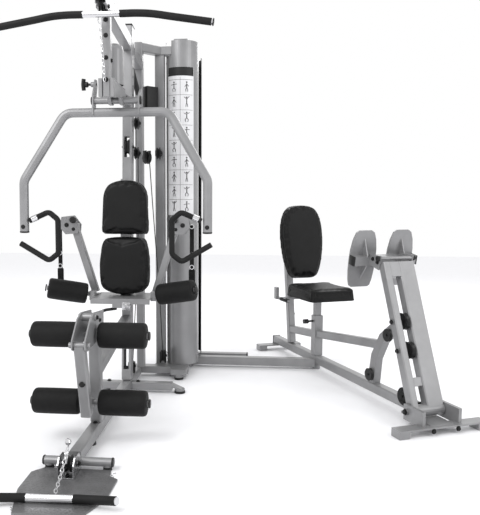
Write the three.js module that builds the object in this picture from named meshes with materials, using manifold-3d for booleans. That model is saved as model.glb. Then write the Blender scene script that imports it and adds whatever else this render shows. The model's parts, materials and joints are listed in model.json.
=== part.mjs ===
// Multi station home gym: a cable station with a press arm, pads, leg developer and weight stack,
// joined by a floor beam to a leg press station that stands turned outward beside it.
// Millimetres. +X is to the right of someone facing the gym, +Y away from them, +Z up.

import * as THREE from 'three';
import { mergeVertices } from 'three/addons/utils/BufferGeometryUtils.js';
import Module from 'manifold-3d';

const wasm = await Module();
wasm.setup();

// ---- driving dimensions ----
const GAP = 0.4;                  // clearance between touching pieces
const WALL = 2.5;                 // steel tube wall
const TUBE_W = 50;                // frame tube width
const TUBE_D = 75;                // frame tube depth
const UPRIGHT_TOP = 1975;         // height of the main upright
const UPRIGHT_LEAN = 118;         // how far back the upright's top stands
const FOOT_Y = -1030;             // front foot
const FOOT_R = 17;
const BOOM_FRONT = -514;
const BOOM_FRONT_Z = 1950;        // centre of the boom's front end
const UPRIGHT_PULLEY_Y = 58;      // pulley in the slot of the main upright
const UPRIGHT_PULLEY_Z = 1330;
const LAT_PULLEY = new THREE.Vector3(0, -466, 1915);
const PIVOT_Y = -205;             // press arm pivot
const PIVOT_Z = 1537;
const ARM_HALF = 460;             // half width over the press arm's ends
const ARM_R = 23;                 // press arm tube radius
const GRIP_R = 14;
const PAD_W = 254;
const SEAT_Z = 530;               // seat plate height
const LEG_Y = -780;               // leg developer rollers
const LEG_PIVOT_Y = -930;
const LEG_PIVOT_Z = 465;
const ROLLER_R = 54;
const ROLLER_L = 205;
const ROLLER_BORE = 13;
const AXLE_R = 12;
const STACK_X = 252;
const STACK_Y = 570;
const STACK_FLOOR = 92;           // underside of the lowest weight plate
const PLATE_PITCH = 25.4;
const PLATE_COUNT = 14;
const LIFTED = 3;                 // plates above the selector pin
const SHROUD_R = 95;
const SHROUD_TOP = 1960;
const TOWER_Z = 1905;             // cross tube that carries the top of the guide rods
const PULLEY_R = 45;
const PULLEY_W = 20;
const LINK_Y = 585;               // floor beam to the leg press
const PRESS_TURN = THREE.MathUtils.degToRad(23);
const PRESS_X = 1075;             // seat column of the leg press
const PRESS_Y = 600;
const PRESS_PIVOT_Y = -1065;      // leg press arm pivot, in the leg press's own frame
const PRESS_PIVOT_Z = 72;
const PRESS_PULLEYS = [280, 420]; // distances from the pivot up the arm
const PRESS_PULLEY_X = -27;
const PLATE_TILT = THREE.MathUtils.degToRad(11);

// ---- materials ----
const finish = (color, roughness, metalness) => (
  new THREE.MeshStandardMaterial({ color, roughness, metalness })
);
const PAINT = finish(0xa9abad, 0.45, 0.3);
const VINYL = finish(0x1b1b1d, 0.55, 0);
const FOAM = finish(0x161617, 0.9, 0);
const CHROME = finish(0xd5d7da, 0.15, 1);
const RUBBER = finish(0x1a1a1b, 0.8, 0);
const PLASTIC = finish(0x141415, 0.5, 0);
const STEEL = finish(0x9a9da1, 0.4, 0.8);
const IRON = finish(0x2a2b2d, 0.6, 0.4);
const CABLE = finish(0x0c0c0c, 0.4, 0);
const CHART = finish(0xe8e8e8, 0.5, 0);

const gym = new THREE.Group();
const legPress = new THREE.Group();
legPress.position.set(PRESS_X, PRESS_Y, 0);
legPress.rotation.z = PRESS_TURN;
gym.add(legPress);

// ---- tools for shapes ----
const v = (x, y, z) => new THREE.Vector3(x, y, z);

function solidOf(geometry) {
  const bare = geometry.clone();
  bare.deleteAttribute('normal');
  bare.deleteAttribute('uv');
  const merged = mergeVertices(bare, 1e-3);
  const vertProperties = Float32Array.from(merged.attributes.position.array);
  const triVerts = Uint32Array.from(merged.index.array);
  return new wasm.Manifold(new wasm.Mesh({ numProp: 3, vertProperties, triVerts }));
}

function geometryOf(solid) {
  const { vertProperties, triVerts } = solid.getMesh();
  const geometry = new THREE.BufferGeometry();
  geometry.setAttribute('position', new THREE.BufferAttribute(Float32Array.from(vertProperties), 3));
  geometry.setIndex(new THREE.BufferAttribute(Uint32Array.from(triVerts), 1));
  return geometry;
}

const join = (...parts) => geometryOf(parts.map(solidOf).reduce((sum, part) => sum.add(part)));
const cut = (body, ...tools) => (
  geometryOf(tools.map(solidOf).reduce((rest, tool) => rest.subtract(tool), solidOf(body)))
);

function add(name, material, geometry, parent = gym) {
  const mesh = new THREE.Mesh(geometry, material);
  mesh.name = name;
  parent.add(mesh);
  return mesh;
}

// Local Z runs along the piece, local X stays level.
function aimed(geometry, from, to) {
  const along = to.clone().sub(from).normalize();
  const side = Math.abs(along.x) > 0.9 ? v(0, -1, 0) : v(1, 0, 0);
  const third = along.clone().cross(side).normalize();
  side.crossVectors(third, along);
  const matrix = new THREE.Matrix4().makeBasis(side, third, along).setPosition(from);
  return geometry.applyMatrix4(matrix);
}

function roundedRect(target, w, h, corner) {
  const x = w / 2;
  const y = h / 2;
  const c = corner;
  const points = [[x, -y + c], [x, y - c], [x - c, y], [-x + c, y],
    [-x, y - c], [-x, -y + c], [-x + c, -y], [x - c, -y]];
  return target.setFromPoints(points.map(([a, b]) => new THREE.Vector2(a, b)));
}

// Rectangular tube, or a bar where wall is 0.
function beam(from, to, w = TUBE_W, h = TUBE_D, wall = WALL, corner = 5) {
  const shape = roundedRect(new THREE.Shape(), w, h, corner);
  if (wall > 0) {
    shape.holes.push(roundedRect(new THREE.Path(), w - 2 * wall, h - 2 * wall, corner - wall / 2));
  }
  const depth = from.distanceTo(to);
  const geometry = new THREE.ExtrudeGeometry(shape, { depth, bevelEnabled: false, curveSegments: 4 });
  return aimed(geometry, from, to);
}

function rod(from, to, radius, sides = 16) {
  const length = from.distanceTo(to);
  const geometry = new THREE.CylinderGeometry(radius, radius, length, sides);
  geometry.rotateX(Math.PI / 2).translate(0, 0, length / 2);
  return aimed(geometry, from, to);
}

class Route extends THREE.Curve {
  constructor(points) {
    super();
    this.points = points;
  }

  getPoint(t, target = new THREE.Vector3()) {
    const place = Math.min(Math.max(t, 0), 1) * (this.points.length - 1);
    const index = Math.min(Math.floor(place), this.points.length - 2);
    return target.lerpVectors(this.points[index], this.points[index + 1], place - index);
  }

  getUtoTmapping(u) {
    return u;
  }
}

// Corner points become arcs of the given radius.
function bent(corners, radius, perBend = 5) {
  const points = [corners[0]];
  for (let i = 1; i < corners.length - 1; i += 1) {
    const back = corners[i - 1].clone().sub(corners[i]).normalize();
    const ahead = corners[i + 1].clone().sub(corners[i]).normalize();
    const half = back.angleTo(ahead) / 2;
    const reach = radius / Math.tan(half);
    const start = corners[i].clone().addScaledVector(back, reach);
    const end = corners[i].clone().addScaledVector(ahead, reach);
    const bend = new THREE.QuadraticBezierCurve3(start, corners[i], end);
    points.push(...bend.getPoints(perBend));
  }
  points.push(corners[corners.length - 1]);
  return points;
}

function bentTube(corners, radius, bendRadius, sides = 12, perBend = 5) {
  const points = bent(corners, bendRadius, perBend);
  const circle = new THREE.Shape();
  for (let i = 0; i < sides; i += 1) {
    const turn = (i / sides) * Math.PI * 2;
    const move = i === 0 ? 'moveTo' : 'lineTo';
    circle[move](radius * Math.cos(turn), radius * Math.sin(turn));
  }
  const steps = points.length - 1;
  return new THREE.ExtrudeGeometry(circle, { steps, extrudePath: new Route(points), bevelEnabled: false });
}

// Flat plate from an outline in the YZ plane, of thickness along X, centred on x.
function sidePlate(outline, x, thickness) {
  const shape = new THREE.Shape(outline.map(([y, z]) => new THREE.Vector2(y, z)));
  const geometry = new THREE.ExtrudeGeometry(shape, { depth: thickness, bevelEnabled: false });
  geometry.applyMatrix4(new THREE.Matrix4().makeBasis(v(0, 1, 0), v(0, 0, 1), v(1, 0, 0)));
  return geometry.translate(x - thickness / 2, 0, 0);
}

// Flat plate from an outline in the XY plane, z to z + thickness.
function floorPlate(outline, z, thickness) {
  const shape = new THREE.Shape(outline.map(([x, y]) => new THREE.Vector2(x, y)));
  return new THREE.ExtrudeGeometry(shape, { depth: thickness, bevelEnabled: false }).translate(0, 0, z);
}

// Flat plate from an outline in the XZ plane, y to y + thickness.
function frontPlate(outline, y, thickness) {
  const shape = new THREE.Shape(outline.map(([x, z]) => new THREE.Vector2(x, z)));
  const geometry = new THREE.ExtrudeGeometry(shape, { depth: thickness, bevelEnabled: false });
  geometry.rotateX(Math.PI / 2);
  return geometry.translate(0, y + thickness, 0);
}

function block(x0, x1, y0, y1, z0, z1) {
  const geometry = new THREE.BoxGeometry(x1 - x0, y1 - y0, z1 - z0);
  return geometry.translate((x0 + x1) / 2, (y0 + y1) / 2, (z0 + z1) / 2);
}

// Ring turned about a line through the given centre.
function turned(profile, centre, axis, sides = 20) {
  const points = profile.map(([r, h]) => new THREE.Vector2(r, h));
  points.push(points[0].clone());
  const geometry = new THREE.LatheGeometry(points, sides);
  const turn = new THREE.Quaternion().setFromUnitVectors(v(0, 1, 0), axis.clone().normalize());
  return geometry.applyQuaternion(turn).translate(centre.x, centre.y, centre.z);
}

function pulley(centre, axis, radius = PULLEY_R, width = PULLEY_W, bore = 5.5) {
  const w = width / 2;
  const groove = radius - width * 0.4;
  return turned([[bore, -w], [radius, -w], [groove, 0], [radius, w], [bore, w]], centre, axis, 18);
}

function roller(centre, axis, length = ROLLER_L) {
  const h = length / 2;
  const e = 8;
  const rim = ROLLER_R;
  const bore = ROLLER_BORE;
  const outline = [[bore, -h], [rim - e, -h], [rim, -h + e], [rim, h - e], [rim - e, h], [bore, h]];
  return turned(outline, centre, axis, 20);
}

// Height-dependent place of the leaning upright's centre line.
const uprightY = (z) => (UPRIGHT_LEAN * z) / UPRIGHT_TOP;

// ---- main station ----
function baseFrame() {
  const z = 42;
  const parts = [
    beam(v(0, FOOT_Y + 6, z), v(0, 300, z), TUBE_W, 50, 0),
    rod(v(-118, FOOT_Y, 30), v(150, FOOT_Y, 30), FOOT_R, 16),
    beam(v(-150, 0, 36), v(250, 0, 36), 50, 40, 0),
    beam(v(240, 0, 46), v(300, 0, 20), 50, 12, 0, 2),
    rod(v(290, 0, 0), v(290, 0, 24), 27, 16),
    rod(v(-125, 0, 0), v(-125, 0, 30), 27, 16),
    rod(v(0, -780, 0), v(0, -780, 30), 20, 12),
    rod(v(-100, FOOT_Y, 0), v(-100, FOOT_Y, 24), 15, 12),
    rod(v(132, FOOT_Y, 0), v(132, FOOT_Y, 24), 15, 12),
  ];
  add('base_frame', PAINT, join(...parts));
}

function treadPlate() {
  const front = -1420;
  const back = FOOT_Y - FOOT_R - 0.6;
  const outline = [[-113, back], [-152, back - 45], [-150, -1240], [-136, -1300], [-104, front],
    [132, front], [172, -1320], [188, -1262], [192, -1125], [156, -1100], [150, back]];
  add('tread_plate', STEEL, floorPlate(outline, 0, 7));
}

function mainUpright() {
  const foot = v(0, uprightY(70), 70);
  const tip = v(0, UPRIGHT_LEAN, UPRIGHT_TOP);
  const tube = beam(foot, tip);
  const slots = [[1275, 1385], [130, 240]].map(([low, high]) => block(-14, 14, -80, 200, low, high));
  const pin = (x) => v(x, UPRIGHT_PULLEY_Y, UPRIGHT_PULLEY_Z);
  const axle = rod(pin(-30), pin(30), 5, 12);
  add('main_upright', PAINT, join(cut(tube, ...slots), axle));
  add('upright_pulley', PLASTIC, pulley(v(0, UPRIGHT_PULLEY_Y, UPRIGHT_PULLEY_Z), v(1, 0, 0), 42, 22, 5.6));
}

function topBoom() {
  const front = v(0, BOOM_FRONT, BOOM_FRONT_Z);
  const back = v(0, 68, 1880);
  const { y, z } = LAT_PULLEY;
  const mouth = block(-14, 14, BOOM_FRONT - 40, y + 60, z - 60, z + 46);
  const cheeks = [-19.5, 19.5].map((x) => block(x - 4.5, x + 4.5, y - 22, y + 22, z - 16, z + 20));
  const axle = rod(v(-26, y, z), v(26, y, z), 5, 12);
  add('top_boom', PAINT, join(cut(beam(front, back), mouth), ...cheeks, axle));
}

function frontHanger() {
  const z = PIVOT_Z + 35;
  const cheek = [[-425, z - 50], [-340, PIVOT_Z - 7], [-250, PIVOT_Z + 8], [-225, PIVOT_Z - 22],
    [-185, PIVOT_Z - 22], [-165, PIVOT_Z - 7], [-165, z + 25], [-425, z + 34]];
  const parts = [
    beam(v(0, -400, z - 48), v(0, -400, 1893), 40, 40, 0),
    beam(v(0, -400, z), v(0, 54, z), 40, 50, 0),
    sidePlate(cheek, -28, 17),
    sidePlate(cheek, 28, 17),
  ];
  const bore = rod(v(-60, PIVOT_Y, PIVOT_Z), v(60, PIVOT_Y, PIVOT_Z), 17.6, 24);
  const room = block(-19.6, 19.6, -260, -140, PIVOT_Z - 60, PIVOT_Z + 30);
  add('front_hanger', PAINT, cut(join(...parts), room, bore));
}

function springCover() {
  const low = PIVOT_Z + 66;
  const high = 1800;
  const outline = [[0, high - 24], [44, high - 32], [44, low], [47, low],
    [47, high - 30], [42, high - 12], [28, high - 3], [0, high]];
  const cover = turned(outline, v(0, -250, 0), v(0, 0, 1), 24);
  const stem = rod(v(0, -250, PIVOT_Z + 61), v(0, -250, high - 20), 8, 12);
  add('spring_cover', PAINT, join(cover, stem));
}

function rearStructure() {
  add('rear_column', PAINT, beam(v(128, 400, 62 + GAP), v(128, 400, TOWER_Z - 26), 56, 45));
  const parts = [
    beam(v(0, 165, 1850), v(26, 280, 1800), TUBE_W, 60, 0),
    beam(v(26, 285, 68), v(26, 285, TOWER_Z + 25), 44, 50, 0),
    beam(v(26, 285, TOWER_Z), v(128, 400, TOWER_Z), 50, 50, 0),
    beam(v(105, 400, TOWER_Z), v(STACK_X + 20, 400, TOWER_Z), 50, 50, 0),
    block(STACK_X - 40, STACK_X + 40, 380, 740, SHROUD_TOP + 3, SHROUD_TOP + 11),
    block(STACK_X - 40, STACK_X + 40, 380, 420, TOWER_Z - 20, SHROUD_TOP + 11),
  ];
  add('rear_tower', PAINT, join(...parts));
}

function stackBase() {
  const parts = [
    block(-TUBE_W / 2, 300, 300 + GAP, 360, 22, 62),
    block(98, 212, 350, 425, 22, 62),
    block(STACK_X - 45, STACK_X + 45, 240, 800, 30, 62),
    block(STACK_X - 60, 640, 740, 785, 12, 45),
    rod(v(STACK_X, 265, 0), v(STACK_X, 265, 40), 24, 16),
    rod(v(620, 762, 0), v(620, 762, 20), 24, 16),
    rod(v(STACK_X, 762, 0), v(STACK_X, 762, 20), 24, 16),
  ];
  add('stack_base', PAINT, join(...parts));
}

function shroud(name, material, centreY, facing, top) {
  const outer = SHROUD_R;
  const inner = SHROUD_R - 3;
  const wing = 30;
  const shape = new THREE.Shape();
  const start = facing < 0 ? Math.PI : 0;
  const side = facing < 0 ? -1 : 1;
  shape.moveTo(side * outer, -facing * wing);
  shape.lineTo(side * outer, 0);
  shape.absarc(0, 0, outer, start, start + Math.PI, false);
  shape.lineTo(-side * outer, -facing * wing);
  shape.lineTo(-side * inner, -facing * wing);
  shape.lineTo(-side * inner, 0);
  shape.absarc(0, 0, inner, start + Math.PI, start, true);
  shape.lineTo(side * inner, -facing * wing);
  const depth = top - 62 - GAP;
  const geometry = new THREE.ExtrudeGeometry(shape, { depth, bevelEnabled: false, curveSegments: 14 });
  const notch = block(STACK_X - 110, STACK_X - 30, 372, 428, TOWER_Z - 28, top + 20);
  return add(name, material, cut(geometry.translate(STACK_X, centreY, 62 + GAP), notch));
}

function stackPlates(first, last) {
  const low = STACK_FLOOR + first * PLATE_PITCH;
  const high = STACK_FLOOR + (last + 1) * PLATE_PITCH - 2;
  const parts = [block(STACK_X - 50, STACK_X + 50, STACK_Y - 120, STACK_Y + 120, low, high)];
  for (let i = first; i <= last; i += 1) {
    const z = STACK_FLOOR + i * PLATE_PITCH;
    parts.push(block(STACK_X - 55, STACK_X + 55, STACK_Y - 125, STACK_Y + 125, z, z + PLATE_PITCH - 2));
  }
  return join(...parts);
}

function weightStack() {
  const top = STACK_FLOOR + PLATE_COUNT * PLATE_PITCH + 1;
  const pinZ = STACK_FLOOR + (PLATE_COUNT - LIFTED + 0.5) * PLATE_PITCH;
  const upright = (y, low, high, radius) => (
    rod(v(STACK_X, STACK_Y + y, low), v(STACK_X, STACK_Y + y, high), radius, 16)
  );
  const bores = [-85, 85].map((y) => upright(y, STACK_FLOOR - 5, 520, 13.2));
  const lowerWell = upright(0, STACK_FLOOR + 5, 520, 15);
  const pinHole = rod(v(STACK_X - 80, STACK_Y, pinZ), v(STACK_X + 1, STACK_Y, pinZ), 5.4, 12);
  add('weight_plates', IRON, cut(stackPlates(0, PLATE_COUNT - LIFTED - 1), ...bores, lowerWell));
  const lifted = stackPlates(PLATE_COUNT - LIFTED, PLATE_COUNT - 1);
  add('lifted_plates', IRON, cut(lifted, ...bores, lowerWell, pinHole));
  ['front', 'rear'].forEach((name, i) => {
    const y = [-85, 85][i];
    const bar = upright(y, 62 + GAP, SHROUD_TOP + 3 - GAP, 11);
    const buffer = upright(y, 62 + GAP, STACK_FLOOR - GAP, 24);
    add(`guide_rod_${name}`, CHROME, join(bar, buffer));
  });
  const head = block(STACK_X - 55, STACK_X + 55, STACK_Y - 125, STACK_Y + 125, top - 2.6, top + 32);
  const stem = upright(0, STACK_FLOOR + 12, top + 90, 12);
  add('stack_head', IRON, cut(join(head, stem), ...bores, pinHole));
  const pin = rod(v(STACK_X - 88, STACK_Y, pinZ), v(STACK_X - 2, STACK_Y, pinZ), 4.8, 12);
  const knob = rod(v(STACK_X - 92, STACK_Y, pinZ), v(STACK_X - 58, STACK_Y, pinZ), 13, 16);
  add('selector_pin', CHROME, join(pin, knob));
  add('stack_cable', CABLE, upright(0, top + 90 + GAP, SHROUD_TOP + 3 - GAP, 3));
}

function chartPanel() {
  const arc = [];
  const outer = SHROUD_R + 3;
  const inner = SHROUD_R + 1.6;
  const half = 0.86;
  const steps = 8;
  for (let i = 0; i <= steps; i += 1) {
    const turn = -Math.PI / 2 - half + (2 * half * i) / steps;
    arc.push([outer * Math.cos(turn), outer * Math.sin(turn)]);
  }
  for (let i = steps; i >= 0; i -= 1) {
    const turn = -Math.PI / 2 - half + (2 * half * i) / steps;
    arc.push([inner * Math.cos(turn), inner * Math.sin(turn)]);
  }
  add('chart_panel', CHART, floorPlate(arc, 957, 851).translate(STACK_X, 450, 0));
}

function pads() {
  const lean = Math.atan2(UPRIGHT_LEAN, UPRIGHT_TOP);
  const domed = new THREE.Shape();
  const half = PAD_W / 2;
  domed.moveTo(-half + 14, -143);
  domed.lineTo(half - 14, -143);
  domed.quadraticCurveTo(half, -140, half, -110);
  domed.lineTo(half - 6, 60);
  domed.bezierCurveTo(half - 12, 125, 70, 148, 0, 148);
  domed.bezierCurveTo(-70, 148, -half + 12, 125, -half + 6, 60);
  domed.lineTo(-half, -110);
  domed.quadraticCurveTo(-half, -140, -half + 14, -143);
  const lumbar = new THREE.Shape();
  lumbar.moveTo(-half + 26, 152);
  lumbar.lineTo(half - 26, 152);
  lumbar.bezierCurveTo(half + 6, 140, half + 14, -20, half + 4, -95);
  lumbar.bezierCurveTo(half - 14, -140, 70, -152, 0, -152);
  lumbar.bezierCurveTo(-70, -152, -half + 14, -140, -half - 4, -95);
  lumbar.bezierCurveTo(-half - 14, -20, -half - 6, 140, -half + 26, 152);
  [['upper_pad', domed, 1004, 62], ['lumbar_pad', lumbar, 692, 84]].forEach(([name, shape, z, depth]) => {
    const geometry = new THREE.ExtrudeGeometry(shape, { depth, bevelEnabled: false, curveSegments: 6 });
    const mesh = add(name, VINYL, geometry);
    mesh.rotation.x = Math.PI / 2 - lean;
    mesh.position.set(0, uprightY(z) - TUBE_D / 2 - 13, z);
  });
  const strip = block(-30, 30, -11, 0, -310, 310);
  strip.rotateX(-lean).translate(0, uprightY(848) - TUBE_D / 2 - 0.9, 848);
  add('pad_strip', PAINT, strip);
}

function seatUnit() {
  const front = -175;
  const both = (shape) => [-1, 1].map(shape);
  const parts = [
    block(-155, 155, front, 60, SEAT_Z, SEAT_Z + 8),
    block(-155, 155, front, front + 8, SEAT_Z - 20, SEAT_Z + 8),
    block(-40, 40, front, 60, SEAT_Z - 40, SEAT_Z + 4),
    ...both((s) => block(s * 163 - 13, s * 163 + 13, -112, -62, SEAT_Z - 12, SEAT_Z + 36)),
    ...both((s) => block(s * 163 - 22, s * 163 + 22, -42, 4, SEAT_Z - 12, SEAT_Z + 14)),
    ...both((s) => rod(v(s * 160, -85, 545), v(s * 390, -158, 588), AXLE_R, 16)),
  ];
  const upright = block(-25.6, 25.6, -11, 90, SEAT_Z - 60, SEAT_Z + 40);
  add('seat_shelf', PAINT, cut(join(...parts), upright));
  const lever = [v(-26, -140, SEAT_Z - 48.5), v(-70, -178, SEAT_Z - 50), v(-138, -196, SEAT_Z - 72)];
  add('seat_lever', PLASTIC, bentTube(lever, 8, 18, 8, 3));
  ['left', 'right'].forEach((name, i) => {
    const side = i === 0 ? -1 : 1;
    const outer = v(side * 390, -158, 588);
    const axis = outer.clone().sub(v(side * 160, -85, 545)).normalize();
    const centre = outer.clone().addScaledVector(axis, -ROLLER_L / 2 - 6);
    add(`seat_roller_${name}`, FOAM, roller(centre, axis));
  });
}

function cableArms() {
  const y = -20;
  ['left', 'right'].forEach((name, i) => {
    const side = i === 0 ? -1 : 1;
    const plate = [[250, 868], [318, 862], [352, 900], [340, 955], [282, 962], [246, 915]];
    const outline = plate.map(([x, z]) => [side * x, z]);
    const hub = 312;
    const axle = rod(v(side * hub, y - 28, 912), v(side * hub, y + 28, 912), 5, 12);
    const parts = [
      beam(v(side * 163, y, SEAT_Z + 22), v(side * 272, y, 895), 38, 38, 0, 4),
      frontPlate(outline, y - 30, 5),
      frontPlate(outline, y + 25, 5),
      block(Math.min(side * 250, side * 274), Math.max(side * 250, side * 274), y - 28, y + 28, 890, 920),
    ];
    const room = rod(v(side * hub, y - 24.6, 912), v(side * hub, y + 24.6, 912), 37, 24);
    add(`cable_arm_${name}`, PAINT, join(cut(join(...parts), room), axle));
    add(`arm_pulley_${name}`, PLASTIC, pulley(v(side * hub, y, 912), v(0, 1, 0), 34, 22, 5.6));
    add(`strap_${name}`, FOAM, block(side * 358 - 11, side * 358 + 11, y - 2, y + 2, 660, 915));
  });
}

function pressArm() {
  const side = 115;
  const bar = PIVOT_Z - 58;
  const corners = (s) => [v(s * ARM_HALF, PIVOT_Y - 70, 888), v(s * ARM_HALF, PIVOT_Y - 64, 1140),
    v(s * 262, PIVOT_Y, bar)];
  const tube = bentTube([...corners(-1), ...corners(1).reverse()], ARM_R, 70, 12);
  const cheek = (s, top) => sidePlate([
    [PIVOT_Y - 28, bar - 12], [PIVOT_Y + 28, bar - 12], [PIVOT_Y + 30, PIVOT_Z], [PIVOT_Y + 66, top - 30],
    [PIVOT_Y + 60, top], [PIVOT_Y + 30, top], [PIVOT_Y - 22, PIVOT_Z + 24],
  ], s * side, 8);
  const shaft = rod(v(-side, PIVOT_Y, PIVOT_Z), v(side, PIVOT_Y, PIVOT_Z), 17, 24);
  const pinY = PIVOT_Y + 46;
  const pinZ = PIVOT_Z + 88;
  const sleeve = rod(v(-side - 24, pinY, pinZ), v(-side, pinY, pinZ), 13, 16);
  const bore = rod(v(-side - 40, pinY, pinZ), v(-side + 10, pinY, pinZ), 6.5, 12);
  add('press_arm', PAINT, cut(join(tube, cheek(-1, pinZ + 22), cheek(1, PIVOT_Z + 60), shaft, sleeve), bore));
  const x = -side - 62;
  const pin = join(rod(v(x, pinY, pinZ), v(-side + 6, pinY, pinZ), 6, 12),
    rod(v(x, pinY, pinZ - 24), v(x, pinY, pinZ + 24), 8, 12));
  add('pull_pin', PLASTIC, pin);
  ['left', 'right'].forEach((name, i) => {
    const s = i === 0 ? -1 : 1;
    const y = PIVOT_Y - 75;
    const route = [v(s * (ARM_HALF - ARM_R - 6), y, 942), v(s * 332, y, 986), v(s * 286, y, 948),
      v(s * 286, y, 780), v(s * 334, y, 742), v(s * 480, y, 828)];
    add(`press_grip_${name}`, RUBBER, bentTube(route, GRIP_R, 26, 10, 4));
  });
}

function legDeveloper() {
  const postY = LEG_Y + 112;
  const upper = 477;
  const lower = 187;
  const cheek = [[LEG_PIVOT_Y - 24, LEG_PIVOT_Z - 14], [LEG_PIVOT_Y + 8, LEG_PIVOT_Z - 26],
    [LEG_Y + 30, upper - 28],
    [postY + 20, upper - 60], [postY + 20, 562], [LEG_Y - 30, 578], [LEG_PIVOT_Y + 60, 560],
    [LEG_PIVOT_Y - 22, LEG_PIVOT_Z + 22]];
  const axle = (y, z) => rod(v(-252, y, z), v(252, y, z), AXLE_R, 16);
  const support = [
    beam(v(0, postY, 69), v(0, LEG_Y + 90, 500), 50, 50, 0),
    beam(v(0, postY, 300), v(0, -20.5, 400), 50, 50, 0),
    sidePlate(cheek, -27, 6),
    sidePlate(cheek, 27, 6),
    rod(v(-38, LEG_Y - 20, 556), v(38, LEG_Y - 20, 556), 16, 16),
    axle(LEG_Y, upper),
  ];
  const bore = rod(v(-60, LEG_PIVOT_Y, LEG_PIVOT_Z), v(60, LEG_PIVOT_Y, LEG_PIVOT_Z), 12.6, 20);
  add('leg_support', PAINT, cut(join(...support), bore));
  const foot = v(0, -838, 150);
  const arm = [
    beam(v(0, LEG_PIVOT_Y, LEG_PIVOT_Z), foot, 44, 44, 0),
    rod(v(-44, LEG_PIVOT_Y, LEG_PIVOT_Z), v(44, LEG_PIVOT_Y, LEG_PIVOT_Z), 12, 20),
    axle(LEG_Y, lower),
    block(-14, 14, -845, LEG_Y, lower - 20, lower + 20),
  ];
  add('leg_arm', PAINT, join(...arm));
  [['upper', upper], ['lower', lower]].forEach(([level, z]) => {
    [['left', -1], ['right', 1]].forEach(([name, s]) => {
      add(`${level}_roller_${name}`, FOAM, roller(v(s * (246 - ROLLER_L / 2), LEG_Y, z), v(1, 0, 0)));
    });
  });
}

function latStation() {
  add('lat_pulley', PLASTIC, pulley(LAT_PULLEY, v(1, 0, 0), 42, 22, 5.6));
  const y = LAT_PULLEY.y - 38;
  const z = 1871;
  const eyeTop = z + 15;
  const route = [v(-500, y, z - 48), v(-200, y, z), v(200, y, z), v(500, y, z - 48)];
  add('lat_bar', CHROME, join(bentTube(route, GRIP_R, 60, 12, 4), rod(v(0, y, z), v(0, y, eyeTop), 5, 10)));
  add('lat_cable', CABLE, rod(v(0, y, eyeTop + 1.5), v(0, y, LAT_PULLEY.z), 3, 8));
}

function lowStation() {
  const y = FOOT_Y - 70;
  const back = FOOT_Y - FOOT_R - 0.5;
  const pulleyZ = 50;
  const outline = [[y - 52, 8], [back, 8], [back, 52], [y + 22, 84], [y - 30, 84], [y - 52, 60]];
  const cheeks = [-30, 30].map((x) => sidePlate(outline, x, 5));
  const axle = rod(v(-36, y, pulleyZ), v(36, y, pulleyZ), 5, 12);
  const foot = block(-32, 32, y - 50, y + 44, 8, 13);
  add('low_pulley_bracket', STEEL, join(...cheeks, axle, foot));
  add('low_pulley', PLASTIC, pulley(v(0, y, pulleyZ), v(1, 0, 0), 33, 22, 5.6));
  const z = 8 + GRIP_R;
  const route = [v(-245, -1395, z + 20), v(-120, -1340, z + 1), v(120, -1330, z + 1), v(245, -1370, z + 20)];
  add('low_bar', CHROME, bentTube(route, GRIP_R, 40, 12, 3));
}

// ---- leg press station, in its own frame: -Y towards the foot plates ----
function pressBase() {
  const foot = (y, half) => join(block(-half, half, y - 32, y + 32, 30, 38),
    block(-half - 45, -half + 8, y - 32, y + 32, 0, 38), block(half - 8, half + 45, y - 32, y + 32, 0, 38));
  const parts = [
    beam(v(0, -1000, 62), v(0, 590, 62), TUBE_W, 50, 0),
    foot(555, 110),
    foot(-1170, 190),
    block(-60, 60, -1180, -960, 30, 40),
    block(-104, -88, -1180, -1040, 30, 104),
    block(88, 104, -1180, -1040, 30, 104),
    rod(v(0, 0, 0), v(0, 0, 60), 24, 16),
  ];
  const bore = rod(v(-120, PRESS_PIVOT_Y, PRESS_PIVOT_Z), v(120, PRESS_PIVOT_Y, PRESS_PIVOT_Z), 14.6, 20);
  add('press_base', PAINT, cut(join(...parts), bore), legPress);
}

function pressSeatFrame() {
  const curved = [[-605, 87.6], [-660, 87.6], [-678, 220], [-735, 320], [-835, 400], [-812, 438], [-705, 358],
    [-635, 240]];
  const parts = [
    beam(v(0, 350, 91), v(0, 420, 620), 45, 45, 0),
    block(-26, 26, -26, 26, 87.6, 335),
    beam(v(0, 362, 180), v(0, 10, 215), 40, 45, 0),
    beam(v(0, -10, 220), v(0, -690, 300), 40, 45, 0),
    sidePlate(curved, 0, 42),
    block(-20, 20, 226, 425, 594, 618),
  ];
  const socket = block(-19.5, 19.5, -19.5, 19.5, 100, 400);
  add('press_seat_frame', PAINT, cut(join(...parts), socket), legPress);
}

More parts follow.
